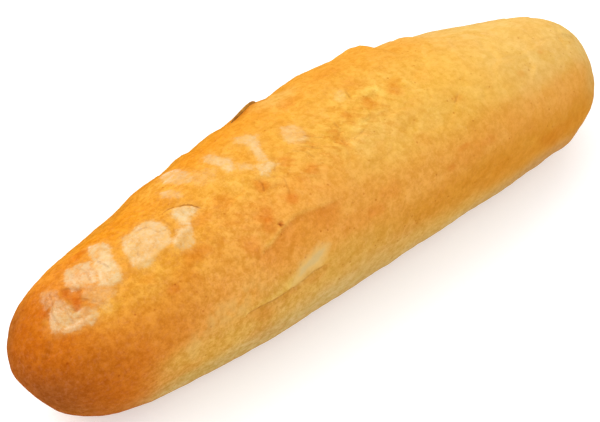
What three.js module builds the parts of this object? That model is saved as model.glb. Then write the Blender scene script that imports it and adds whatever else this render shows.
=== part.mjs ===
// A short, plump baguette: one closed loaf that rests on a flat strip under its belly.
// Millimetres, +Z up. +X runs along the loaf, +Y towards its back, and the origin is the middle of its
// outline on the table. Angles round a section start at the back (+Y) and turn up over the crown:
// 0 back, 90 crown, 180 front, 270 underside. A station is -1 to 1 along the loaf.
import * as THREE from "three";

// Driving dimensions.
const LENGTH = 250;
const HALF_WIDTH = 35.45;
const HEIGHT = 58.55;
const WIDEST_AT = 0.5; // height of the widest line of a section, as a share of the section's top
const PRESSED_FLAT = 1.5; // how far the underside would reach below the table if it were round
const BEND = 3.7; // how far the middle of the loaf bows towards the back

// How blunt each end is, from above and over the crown: 2 is an ellipse, more is blunter.
const BLUNT_PLAN = { left: 4.8, right: 4.5 };
const BLUNT_CROWN = { left: 2.7, right: 4 };

// How much the loaf narrows from its fullest station to each end, as a share of its size there.
const WIDEST_STATION = 0.24;
const TALLEST_STATION = 0.21;
const TAPER_FRONT = { left: 0.06, right: 0.09 };
const TAPER_BACK = { left: 0.3, right: 0.22 };
const TAPER_TOP = { left: 0, right: 0.2 };
const TAPER_SOFTNESS = 0.3;

// Section exponents: 2 is an ellipse, more is squarer.
const ROUND_ABOVE = 2.1;
const ROUND_BELOW = 2.6;

// The unevenness of a hand-shaped loaf: smooth rises and hollows of a height, centred x along the loaf
// and angle degrees round it, with their spreads along (mm) and round (degrees).
const SWELLS = [
  { name: "near shoulder", x: -113, angle: 50, height: 2.4, along: 17, round: 34 },
  { name: "near hollow", x: -74, angle: 50, height: -3, along: 33, round: 34 },
  { name: "middle swell", x: 23, angle: 50, height: 2.2, along: 38, round: 34 },
  { name: "far hollow", x: 85, angle: 50, height: -4, along: 27, round: 34 },
  { name: "near waist", x: -75, angle: 200, height: -2, along: 22, round: 26 },
  { name: "front waist", x: 44, angle: 200, height: -1.3, along: 40, round: 26 },
  { name: "far hip", x: 104, angle: 200, height: 2.8, along: 18, round: 26 },
];

// The side split: a shallow furrow on the front, which climbs from its first end to its second.
const SPLIT = { from: -56, to: -24, angle: 174, climb: -0.05, depth: 1, round: 5, fade: 6 };

const STATIONS = 52;
const SIDES = 64;

const DEGREES = Math.PI / 180;
const { abs, cos, exp, hypot, max, PI, pow, sign, sin, sqrt } = Math;

// A smooth ramp: nearly nothing below zero, and rising evenly above it.
const ramp = (t) => (t + hypot(t, TAPER_SOFTNESS)) / 2;

// Share of full size left by the rounding of the ends.
function endRound(station, blunt) {
  return sqrt(max(0, 1 - pow(abs(station), station < 0 ? blunt.left : blunt.right)));
}

// Share of full size left by the narrowing towards the ends.
function taper(station, ends, fullest) {
  const lost = ends.left * ramp(fullest - station) + ends.right * ramp(station - fullest);
  return 1 - lost + ((ends.left + ends.right) * TAPER_SOFTNESS) / 2;
}

// Superellipse term: a sine or cosine raised to 2 / exponent, with its sign kept.
const squared = (value, exponent) => sign(value) * pow(abs(value), 2 / exponent);

const bell = (t) => exp(-t * t);

// Smallest turn from one angle to another, in degrees.
const turn = (from, to) => ((((to - from) % 360) + 540) % 360) - 180;

const swell = (s, x, angle) =>
  s.height * bell((x - s.x) / s.along) * bell(turn(s.angle, angle) / s.round);

// Depth of the side split at a place, fading out past its two ends.
function split(x, angle) {
  const line = SPLIT.angle + SPLIT.climb * (x - SPLIT.from);
  const past = max(SPLIT.from - x, x - SPLIT.to, 0);
  return SPLIT.depth * bell(past / SPLIT.fade) * bell(turn(line, angle) / SPLIT.round);
}

// How far the skin stands out from the plain loaf.
function relief(x, angle) {
  return SWELLS.reduce((sum, s) => sum + swell(s, x, angle), 0) - split(x, angle);
}

// A point of the skin. The upper and lower halves of a section are quarter superellipses.
function skin(station, angle) {
  const x = (station * LENGTH) / 2;
  const c = cos(angle * DEGREES);
  const s = sin(angle * DEGREES);
  const above = s >= 0;
  const round = above ? ROUND_ABOVE : ROUND_BELOW;
  const plan = endRound(station, BLUNT_PLAN);
  const crown = endRound(station, BLUNT_CROWN);
  const top = HEIGHT * taper(station, TAPER_TOP, TALLEST_STATION);
  const middle = WIDEST_AT * top;
  const side = HALF_WIDTH * plan * taper(station, c > 0 ? TAPER_BACK : TAPER_FRONT, WIDEST_STATION);
  const rise = above ? (top - middle) * crown : (middle + PRESSED_FLAT) * plan;
  const out = relief(x, angle) * plan;
  const y = BEND * (1 - station * station) + side * squared(c, round) + out * c;
  const z = middle + rise * squared(s, round) + out * s;
  return new THREE.Vector3(x, y, max(0, z));
}

// Rings of points from one end to the other, with a single point at each tip.
function skinPoints() {
  const points = [skin(-1, 0)];
  for (let ring = 1; ring < STATIONS; ring++) {
    const station = sin((ring / STATIONS - 0.5) * PI);
    for (let j = 0; j < SIDES; j++) points.push(skin(station, (j * 360) / SIDES));
  }
  points.push(skin(1, 0));
  return points;
}

// Triangles over those points: a fan at each tip and a closed band between neighbouring rings.
function skinFaces() {
  const at = (ring, j) => 1 + (ring - 1) * SIDES + (j % SIDES);
  const tip = at(STATIONS, 0);
  const faces = [];
  for (let j = 0; j < SIDES; j++) {
    faces.push(0, at(1, j + 1), at(1, j));
    for (let ring = 1; ring < STATIONS - 1; ring++) {
      faces.push(at(ring, j), at(ring, j + 1), at(ring + 1, j));
      faces.push(at(ring, j + 1), at(ring + 1, j + 1), at(ring + 1, j));
    }
    faces.push(at(STATIONS - 1, j), at(STATIONS - 1, j + 1), tip);
  }
  return faces;
}

function loafGeometry() {
  const geometry = new THREE.BufferGeometry().setFromPoints(skinPoints());
  geometry.setIndex(skinFaces());
  geometry.computeVertexNormals();
  geometry.computeBoundingBox();
  return geometry;
}

// The loaf stands on z = 0 with the middle of its outline on the origin.
function loaf() {
  const geometry = loafGeometry();
  const crust = new THREE.MeshStandardMaterial({ color: 0xe9a548, roughness: 0.42, metalness: 0 });
  const middle = geometry.boundingBox.getCenter(new THREE.Vector3());
  const mesh = new THREE.Mesh(geometry, crust);
  mesh.name = "loaf";
  mesh.position.set(-middle.x, -middle.y, 0);
  return mesh;
}

const group = new THREE.Group();
group.add(loaf());
export default group;
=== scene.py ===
"""A short, plump baguette with a glazed and crazed crown, a split low on its front and a scorched flake.

The loaf is one crust skin: a function of a station along the loaf and an angle round it, pushed in and
out by swells, plates, creases, pits and grain. Lengths are millimetres until a mesh is stored in metres.
+X runs along the loaf to its paler far end, +Y to its back, +Z up. Angles are degrees round a section:
0 at the back, 90 on the crown, 180 at the front and 270 underneath.
"""

import logging
from dataclasses import dataclass
from enum import Enum

import bpy
import numpy as np
from mathutils import Matrix, Vector

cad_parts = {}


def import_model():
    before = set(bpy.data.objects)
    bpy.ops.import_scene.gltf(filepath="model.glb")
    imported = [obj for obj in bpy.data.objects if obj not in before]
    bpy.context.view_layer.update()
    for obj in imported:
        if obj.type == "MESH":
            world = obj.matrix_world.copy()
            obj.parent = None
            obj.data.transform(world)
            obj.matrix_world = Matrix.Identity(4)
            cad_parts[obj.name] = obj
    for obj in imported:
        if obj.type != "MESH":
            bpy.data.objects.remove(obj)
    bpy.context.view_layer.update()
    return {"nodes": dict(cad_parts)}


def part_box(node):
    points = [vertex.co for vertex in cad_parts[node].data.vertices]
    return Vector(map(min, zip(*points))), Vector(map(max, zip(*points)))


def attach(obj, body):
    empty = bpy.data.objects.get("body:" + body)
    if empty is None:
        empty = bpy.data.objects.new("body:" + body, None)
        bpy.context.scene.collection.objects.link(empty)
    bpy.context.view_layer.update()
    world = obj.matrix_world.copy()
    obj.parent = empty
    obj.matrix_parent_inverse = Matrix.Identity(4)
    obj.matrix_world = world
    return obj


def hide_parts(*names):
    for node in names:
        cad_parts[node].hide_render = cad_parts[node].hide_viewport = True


LOG = logging.getLogger("baguette")
MM = 0.001
MM_PER_DEGREE = 0.58  # length of one degree of skin, measured round the loaf
# the same fades darken painted shade, and pale painted highlights when negative
BAKE_AND_SHADE_FADES = (0.28, 1.0, 1.8)  # how fast deeper baking takes away red, green and blue

Place = tuple[float, float]  # x in millimetres and angle in degrees, on the skin
Colour = tuple[float, float, float, float]
WHITE: Colour = (1.0, 1.0, 1.0, 1.0)


# ---------------------------------------------------------------------------------------------------
# Small formulas
# ---------------------------------------------------------------------------------------------------

def bell(t: np.ndarray) -> np.ndarray:
    """A smooth bump: one at zero, a third at one, and nothing from about two."""
    return np.exp(-np.square(t))


def turn(start: float, angle: np.ndarray) -> np.ndarray:
    """The smallest turn from one angle to others, in degrees."""
    return (angle - start + 180.0) % 360.0 - 180.0


def smooth_step(t: np.ndarray, low: float, high: float) -> np.ndarray:
    """Zero below low, one above high, and the S-curve 3 t^2 - 2 t^3 between them."""
    share = np.clip((t - low) / (high - low), 0.0, 1.0)
    return share * share * (3.0 - 2.0 * share)


def signed_power(value: np.ndarray, exponent: float) -> np.ndarray:
    """A power of a number's size, with its sign kept."""
    return np.sign(value) * np.abs(value) ** exponent


def closed_tube(rings: int, columns: int, reverse: bool = False) -> list[list[int]]:
    """Faces of a grid of points that closes round its columns, with a fan to a point at each end.

    Args:
        rings: how many rings of points there are; the two end points come after them.
        columns: how many points a ring has.
        reverse: whether the faces are wound the other way round.

    Returns:
        The point numbers of each face.
    """
    ring, column = np.meshgrid(np.arange(rings - 1), np.arange(columns), indexing="ij")
    after = (column + 1) % columns
    quads = np.stack([ring * columns + column, ring * columns + after,
                      (ring + 1) * columns + after, (ring + 1) * columns + column], -1)
    here, ahead = column[0], after[0]
    ends = rings * columns
    last = ends - columns
    near = np.stack([np.full_like(here, ends), ahead, here], -1)
    far = np.stack([np.full_like(here, ends + 1), last + here, last + ahead], -1)
    faces = quads.reshape(-1, 4).tolist() + near.tolist() + far.tolist()
    return [face[:1] + face[:0:-1] for face in faces] if reverse else faces


def make_piece(name: str, points: np.ndarray, faces: list[list[int]]) -> bpy.types.Object:
    """Puts a smooth-shaded mesh into the scene.

    Args:
        name: name of the object and of its mesh.
        points: places in millimetres, one row each.
        faces: point numbers of each face.

    Returns:
        The object, at the origin, with its mesh in metres.
    """
    mesh = bpy.data.meshes.new(name)
    mesh.from_pydata((points * MM).tolist(), [], faces)
    mesh.polygons.foreach_set("use_smooth", np.ones(len(mesh.polygons), bool))
    piece = bpy.data.objects.new(name, mesh)
    bpy.context.scene.collection.objects.link(piece)
    return piece


@dataclass(frozen=True)
class Grain:
    """Seeded gradient noise in three dimensions.

    At each corner of a unit cell a random direction is dotted with the way from that corner, and the
    eight results are blended with the smootherstep curve.
    """

    seed: int
    ways: int = 4096
    gain: float = 1.7
    primes: tuple[int, int, int] = (73856093, 19349663, 83492791)

    def at(self, places: np.ndarray, size: float) -> np.ndarray:
        """Noise of about -1 to 1.

        Args:
            places: points in millimetres, with the coordinates in the last axis.
            size: distance across one lump, in millimetres.

        Returns:
            One value for each point.
        """
        ways = np.random.default_rng(self.seed).normal(size=(self.ways, 3))
        ways /= np.linalg.norm(ways, axis=1, keepdims=True)
        scaled = places / size
        cell = np.floor(scaled).astype(np.int64)
        offset = scaled - cell
        weight = offset ** 3 * (offset * (offset * 6.0 - 15.0) + 10.0)
        total = np.zeros(places.shape[:-1])
        for corner in np.ndindex(2, 2, 2):
            key = np.bitwise_xor.reduce((cell + corner) * self.primes, -1) % self.ways
            lift = (ways[key] * (offset - corner)).sum(-1)
            total += lift * np.where(corner, weight, 1.0 - weight).prod(-1)
        return total * self.gain


# ---------------------------------------------------------------------------------------------------
# The plain loaf
# ---------------------------------------------------------------------------------------------------

@dataclass(frozen=True)
class Ends:
    """One value for each end of the loaf: near is -X and far is +X."""

    near: float
    far: float

    def pick(self, station: np.ndarray) -> np.ndarray:
        """The value of the end that a station lies towards."""
        return np.where(station < 0.0, self.near, self.far)


@dataclass(frozen=True)
class Swell:
    """A smooth rise or hollow: a bell along the loaf times a bell round it."""

    x: float
    angle: float
    height: float
    along: float
    round: float

    def at(self, x: np.ndarray, angle: np.ndarray) -> np.ndarray:
        """How far it lifts the skin, in millimetres."""
        return (self.height * bell((x - self.x) / self.along)
                * bell(turn(self.angle, angle) / self.round))


@dataclass(frozen=True)
class LoafForm:
    """The loaf without its crust detail: sections of quarter superellipses on a bowed axis."""

    length: float
    half_width: float = 35.45
    height: float = 58.55
    widest_at: float = 0.5
    pressed_flat: float = 1.5
    bend: float = 3.7
    blunt_plan: Ends = Ends(4.8, 4.5)
    blunt_crown: Ends = Ends(2.7, 4.0)
    widest_station: float = 0.24
    tallest_station: float = 0.21
    taper_front: Ends = Ends(0.06, 0.09)
    taper_back: Ends = Ends(0.30, 0.22)
    taper_top: Ends = Ends(0.0, 0.20)
    taper_softness: float = 0.3
    round_above: float = 2.1
    round_below: float = 2.6
    swells: tuple[Swell, ...] = (
        Swell(-113, 50, 2.4, 17, 34),
        Swell(-74, 50, -3.0, 33, 34),
        Swell(23, 50, 2.2, 38, 34),
        Swell(85, 50, -4.0, 27, 34),
        Swell(-75, 200, -2.0, 22, 26),
        Swell(44, 200, -1.3, 40, 26),
        Swell(104, 200, 2.8, 18, 26),
    )

    def taper(self, station: np.ndarray, ends: Ends, fullest: float) -> np.ndarray:
        """Narrowing to each end along two soft ramps, (t + root of t^2 + softness^2) / 2.

        Args:
            station: -1 to 1 along the loaf.
            ends: how much size each end loses for one unit of station.
            fullest: the station that the ramps start from.

        Returns:
            The share of full size that is left.
        """
        def ramp(t: np.ndarray) -> np.ndarray:
            """Nothing below zero and t above it, with a soft bend between them."""
            return (t + np.hypot(t, self.taper_softness)) / 2.0

        lost = ends.near * ramp(fullest - station) + ends.far * ramp(station - fullest)
        return 1.0 - lost + (ends.near + ends.far) * self.taper_softness / 2.0

    def end_round(self, station: np.ndarray, blunt: Ends) -> np.ndarray:
        """Share of full size left by the rounding of the ends: the root of 1 - |station|^blunt."""
        return np.sqrt(np.maximum(0.0, 1.0 - np.abs(station) ** blunt.pick(station)))

    def skin(self, station: np.ndarray, angle: np.ndarray) -> np.ndarray:
        """Points of the plain skin.

        A section is a superellipse half above and half below its widest line. The swells move it out
        along the angle, and what would reach below the table is pressed flat.

        Args:
            station: -1 to 1 along the loaf.
            angle: degrees round the section, of a shape that fits the stations.

        Returns:
            Points in millimetres, with the coordinates in the last axis.
        """
        station, angle = np.broadcast_arrays(station, angle)
        x = station * self.length / 2.0
        cosine, sine = np.cos(np.radians(angle)), np.sin(np.radians(angle))
        above = sine >= 0.0
        power = 2.0 / np.where(above, self.round_above, self.round_below)
        plan = self.end_round(station, self.blunt_plan)
        crown = self.end_round(station, self.blunt_crown)
        top = self.height * self.taper(station, self.taper_top, self.tallest_station)
        middle = self.widest_at * top
        side = self.half_width * plan * np.where(
            cosine > 0.0,
            self.taper(station, self.taper_back, self.widest_station),
            self.taper(station, self.taper_front, self.widest_station))
        rise = np.where(above, (top - middle) * crown, (middle + self.pressed_flat) * plan)
        out = sum(swell.at(x, angle) for swell in self.swells) * plan
        y = self.bend * (1.0 - station ** 2) + side * signed_power(cosine, power) + out * cosine
        z = middle + rise * signed_power(sine, power) + out * sine
        return np.stack([x, y, np.maximum(z, 0.0)], -1)

    def even_stations(self, rings: int, samples: int = 4001) -> np.ndarray:
        """Stations a like distance apart along the loaf's outline, without its two tips.

        Args:
            rings: how many stations are wanted.
            samples: how finely the outline's length is measured.

        Returns:
            The stations, from near to far.
        """
        station = np.sin(np.linspace(-np.pi / 2.0, np.pi / 2.0, samples))
        across = self.half_width * self.end_round(station, self.blunt_plan)
        run = np.hypot(np.diff(station * self.length / 2.0), np.diff(across)).cumsum()
        run = np.concatenate([[0.0], run])
        return np.interp(np.linspace(0.0, run[-1], rings + 2)[1:-1], run, station)

    def even_angles(self, columns: int, samples: int = 5761, below: float = 0.45,
                    below_reach: float = 50.0) -> np.ndarray:
        """Angles a like distance apart round the middle section, further apart on the underside.

        Args:
            columns: how many angles are wanted.
            samples: how finely the section's length is measured.
            below: share of the points that the underside gets.
            below_reach: degrees from straight down over which that share fades out.

        Returns:
            The angles, from the back over the crown.
        """
        angle = np.linspace(0.0, 360.0, samples)
        points = self.skin(np.zeros(1), angle)
        steps = np.linalg.norm(np.diff(points, axis=0), axis=1)
        thinning = (1.0 - below) * bell(turn(270.0, angle[1:]) / below_reach)
        run = np.concatenate([[0.0], (steps * (1.0 - thinning)).cumsum()])
        return np.interp(np.linspace(0.0, run[-1], columns + 1)[:-1], run, angle)


# ---------------------------------------------------------------------------------------------------
# Marks drawn on the crust
# ---------------------------------------------------------------------------------------------------

@dataclass(frozen=True)
class Trace:
    """A line on the skin through a few places."""

    places: tuple[Place, ...]

    def measure(self, x: np.ndarray, angle: np.ndarray) -> tuple[np.ndarray, np.ndarray]:
        """Distances on the unrolled skin.

        Each straight stretch gives a nearest point, and the nearest of those is kept.

        Args:
            x: places along the loaf, in millimetres.
            angle: places round it, in degrees.

        Returns:
            The distance to the line, positive on its crown side, and the distance past its ends.
        """
        nearest = np.full(np.shape(x), np.inf)
        side = np.zeros_like(nearest)
        past = np.zeros_like(nearest)
        ends = list(zip(self.places[:-1], self.places[1:]))
        for number, ((x0, a0), (x1, a1)) in enumerate(ends):
            run = np.array([x1 - x0, (a1 - a0) * MM_PER_DEGREE])
            length = np.hypot(*run)
            east, down = x - x0, turn(a0, angle) * MM_PER_DEGREE
            share = (east * run[0] + down * run[1]) / length ** 2
            held = np.clip(share, 0.0, 1.0)
            gap = np.hypot(east - held * run[0], down - held * run[1])
            closer = gap < nearest
            nearest = np.where(closer, gap, nearest)
            side = np.where(closer, np.sign(east * run[1] - down * run[0]), side)
            over = np.where(share < 0.0, -share if number == 0 else 0.0,
                            np.maximum(share - 1.0, 0.0) if number == len(ends) - 1 else 0.0)
            past = np.where(closer, over * length, past)
        return nearest * side, past


@dataclass(frozen=True)
class Crease:
    """A crack or the edge of a crust plate.

    Across its line the skin drops into a groove, stands up in a lip on the crown side and rises by a
    step that fades back over the plate. The crust below the line gets painted shade, the lip a painted
    highlight and the groove a painted dark line of shade. All of it fades
    past the two ends of the line.
    """

    trace: Trace
    groove: float = 0.0
    groove_width: float = 0.6
    lip: float = 0.0
    lip_width: float = 1.2
    lip_setback: float = 1.3
    step: float = 0.0
    step_edge: float = 0.5
    step_reach: float = 8.0
    fade: float = 2.0
    # line: how dark the painted line of shade in the groove is
    line: float = 0.0
    line_inner: float = 1.2
    line_outer: float = 2.0
    # pale: a painted highlight on the lip; shade: painted shade below the line
    pale: float = 0.0
    shade: float = 0.0
    shade_edge: float = 0.6
    shade_reach: float = 5.0

    def lift(self, x: np.ndarray, angle: np.ndarray) -> np.ndarray:
        """Bells for the groove and the lip, and a smooth step times a wide bell for the plate.

        Args:
            x: places along the loaf, in millimetres.
            angle: places round it, in degrees.

        Returns:
            How far it lifts the skin, in millimetres.
        """
        away, past = self.trace.measure(x, angle)
        rise = self.lip * bell(away / self.lip_width - self.lip_setback)
        rise += (self.step * smooth_step(away, -self.step_edge, self.step_edge)
                 * bell(away / self.step_reach))
        return bell(past / self.fade) * (rise - self.groove * bell(away / self.groove_width))

    def depth(self, x: np.ndarray, angle: np.ndarray) -> np.ndarray:
        """A one-sided bell of painted shade below the line, less a bell of painted highlight on the lip.

        Args:
            x: places along the loaf, in millimetres.
            angle: places round it, in degrees.

        Returns:
            How much darker each place is painted: shade below the line, negative for the lip's highlight.
        """
        away, past = self.trace.measure(x, angle)
        below = smooth_step(-away, -self.shade_edge, self.shade_edge) * bell(away / self.shade_reach)
        lip = bell(away / self.lip_width - 1.0)
        return bell(past / self.fade) * (self.shade * below - self.pale * lip)

    def ink(self, x: np.ndarray, angle: np.ndarray) -> tuple[np.ndarray, np.ndarray]:
        """The thin painted dark line itself, the shade in the groove.

        Args:
            x: places along the loaf, in millimetres.
            angle: places round it, in degrees.

        Returns:
            The signed distance to the line, and how dark the line is there.
        """
        away, past = self.trace.measure(x, angle)
        near = 1.0 - smooth_step(np.abs(away), self.line_inner, self.line_outer)
        return away, self.line * near * bell(past / self.fade)


@dataclass(frozen=True)
class Blotch:
    """An oval on the crust that is coloured deeper (or, if negative, paler) and lifted or dented: mostly
    baked tone, and painted shade at a pit and beside the glazed islands.
    """

    x: float
    angle: float
    along: float
    round: float
    depth: float
    lift: float = 0.0
    soft: float = 0.55

    def spread(self, x: np.ndarray, angle: np.ndarray, ragged: np.ndarray) -> np.ndarray:
        """One inside the oval and nothing outside, with an uneven soft edge."""
        reach = np.hypot((x - self.x) / self.along, turn(self.angle, angle) / self.round)
        return 1.0 - smooth_step(reach + ragged, 1.0 - self.soft, 1.0 + self.soft)


@dataclass(frozen=True)
class Dent:
    """A rise or hollow about a point in space, for the rounded ends of the loaf."""

    middle: tuple[float, float, float]
    height: float
    radius: float

    def at(self, places: np.ndarray) -> np.ndarray:
        """How far it lifts the skin, in millimetres."""
        return self.height * bell(np.linalg.norm(places - self.middle, axis=-1) / self.radius)


@dataclass(frozen=True)
class Patch:
    """An angular island on the crust, by its corners."""

    corners: tuple[Place, ...]
    strength: float = 1.0

    def inside(self, x: np.ndarray, angle: np.ndarray) -> np.ndarray:
        """Distance to the outline on the unrolled skin, positive inside.

        The nearest point of each edge gives the distance, and the number of edges crossed by a line
        going along +X gives the side.

        Args:
            x: places along the loaf, in millimetres.
            angle: places round it, in degrees.

        Returns:
            The distance, in millimetres.
        """
        nearest = np.full(np.shape(x), np.inf)
        within = np.zeros(np.shape(x), bool)
        for (x0, a0), (x1, a1) in zip(self.corners, self.corners[1:] + self.corners[:1]):
            run = np.array([x1 - x0, (a1 - a0) * MM_PER_DEGREE])
            east, down = x - x0, (angle - a0) * MM_PER_DEGREE
            share = np.clip((east * run[0] + down * run[1]) / (run @ run), 0.0, 1.0)
            nearest = np.minimum(nearest, np.hypot(east - share * run[0], down - share * run[1]))
            if a0 != a1:
                crosses = (angle > min(a0, a1)) & (angle <= max(a0, a1))
                within ^= crosses & (x < x0 + (angle - a0) * (x1 - x0) / (a1 - a0))
        return np.where(within, nearest, -nearest)


@dataclass(frozen=True)
class Plates:
    """Flat-topped plates of crust about a centimetre across, on the crown.

    Seeds are scattered over the plain skin. Each point belongs to its nearest seed, whose plate is
    tilted and lifted at random, and the gap to the second nearest seed makes a soft joint.
    """

    seed: int = 12
    across: float = 9.5
    scatter: float = 0.42
    tilt: float = 0.035
    lift: float = 0.06
    joint: float = 0.06
    joint_width: float = 1.4
    first_angle: float = 30.0
    last_angle: float = 150.0
    margin: float = 10.0
    last_station: float = 0.99

    def at(self, form: LoafForm, angle: np.ndarray, places: np.ndarray) -> np.ndarray:
        """The nearest plate's height, sunk at its joints and faded out at the sides of the crown.

        Args:
            form: the plain loaf.
            angle: places round it, in degrees.
            places: the same places as points of the plain skin, in millimetres.

        Returns:
            How far the plates lift the skin, in millimetres.
        """
        rng = np.random.default_rng(self.seed)
        pitch = (2.0 * self.across / form.length, self.across / MM_PER_DEGREE)
        stations = np.arange(-1.0, 1.0, pitch[0])
        angles = np.arange(self.first_angle - self.margin, self.last_angle + self.margin, pitch[1])
        seeds = np.stack(np.meshgrid(stations, angles, indexing="ij"), -1).reshape(-1, 2)
        seeds += rng.uniform(-self.scatter, self.scatter, seeds.shape) * pitch
        middles = form.skin(np.clip(seeds[:, 0], -self.last_station, self.last_station), seeds[:, 1])
        slopes = rng.normal(0.0, self.tilt, middles.shape)
        lifts = rng.normal(0.0, self.lift, len(middles))
        first = np.full(angle.shape, np.inf)
        second = np.full(angle.shape, np.inf)
        height = np.zeros(angle.shape)
        for middle, slope, lifted in zip(middles, slopes, lifts):
            gap = np.linalg.norm(places - middle, axis=-1)
            closer = gap < first
            second = np.where(closer, first, np.minimum(second, gap))
            first = np.where(closer, gap, first)
            height = np.where(closer, lifted + (places - middle) @ slope, height)
        held = smooth_step(second - first, 0.0, self.joint_width)
        start = smooth_step(angle, self.first_angle - self.margin, self.first_angle + self.margin)
        stop = smooth_step(angle, self.last_angle - 3.0 * self.margin, self.last_angle)
        return start * (1.0 - stop) * (height * held - self.joint * (1.0 - held))


# ---------------------------------------------------------------------------------------------------
# Colour of the crust
# ---------------------------------------------------------------------------------------------------

class Tone(Enum):
    """Colours that the crust takes as it bakes, as linear red, green and blue."""

    EMBER = (0.240, 0.067, 0.013)
    RUSSET = (0.397, 0.093, 0.004)
    UMBER = (0.315, 0.081, 0.010)
    COPPER = (0.495, 0.128, 0.006)
    TOFFEE = (0.582, 0.193, 0.018)
    AMBER = (0.630, 0.226, 0.010)
    APRICOT = (0.630, 0.274, 0.028)
    HONEY = (0.655, 0.296, 0.034)
    GOLD = (0.690, 0.374, 0.058)
    STRAW = (0.675, 0.402, 0.098)
    CORN = (0.652, 0.428, 0.125)
    TAN = (0.700, 0.312, 0.050)
    WHEAT = (0.612, 0.335, 0.060)
    BRONZE = (0.575, 0.235, 0.022)
    OAT = (0.535, 0.360, 0.118)
    BISCUIT = (0.465, 0.262, 0.095)
    SIENNA = (0.535, 0.208, 0.014)
    MUSTARD = (0.522, 0.350, 0.098)
    FAWN = (0.590, 0.358, 0.105)


def deepen_for_bake_and_shade(colour: np.ndarray, depth: np.ndarray) -> np.ndarray:
    """Colour darkened the way more baking darkens it, used for baking and for painted shade: each channel
    decays, blue fastest and red slowest.
    """
    return colour * np.exp(-depth[..., None] * np.array(BAKE_AND_SHADE_FADES))


@dataclass(frozen=True)
class Bloom:
    """A region of one tone: a bell along the loaf times a bell round it, with a weight."""

    tone: Tone
    x: float
    angle: float
    along: float
    round: float
    weight: float = 1.0

    def at(self, x: np.ndarray, angle: np.ndarray) -> np.ndarray:
        """How strongly the region claims each place."""
        return (self.weight * bell((x - self.x) / self.along)
                * bell(turn(self.angle, angle) / self.round))


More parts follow.
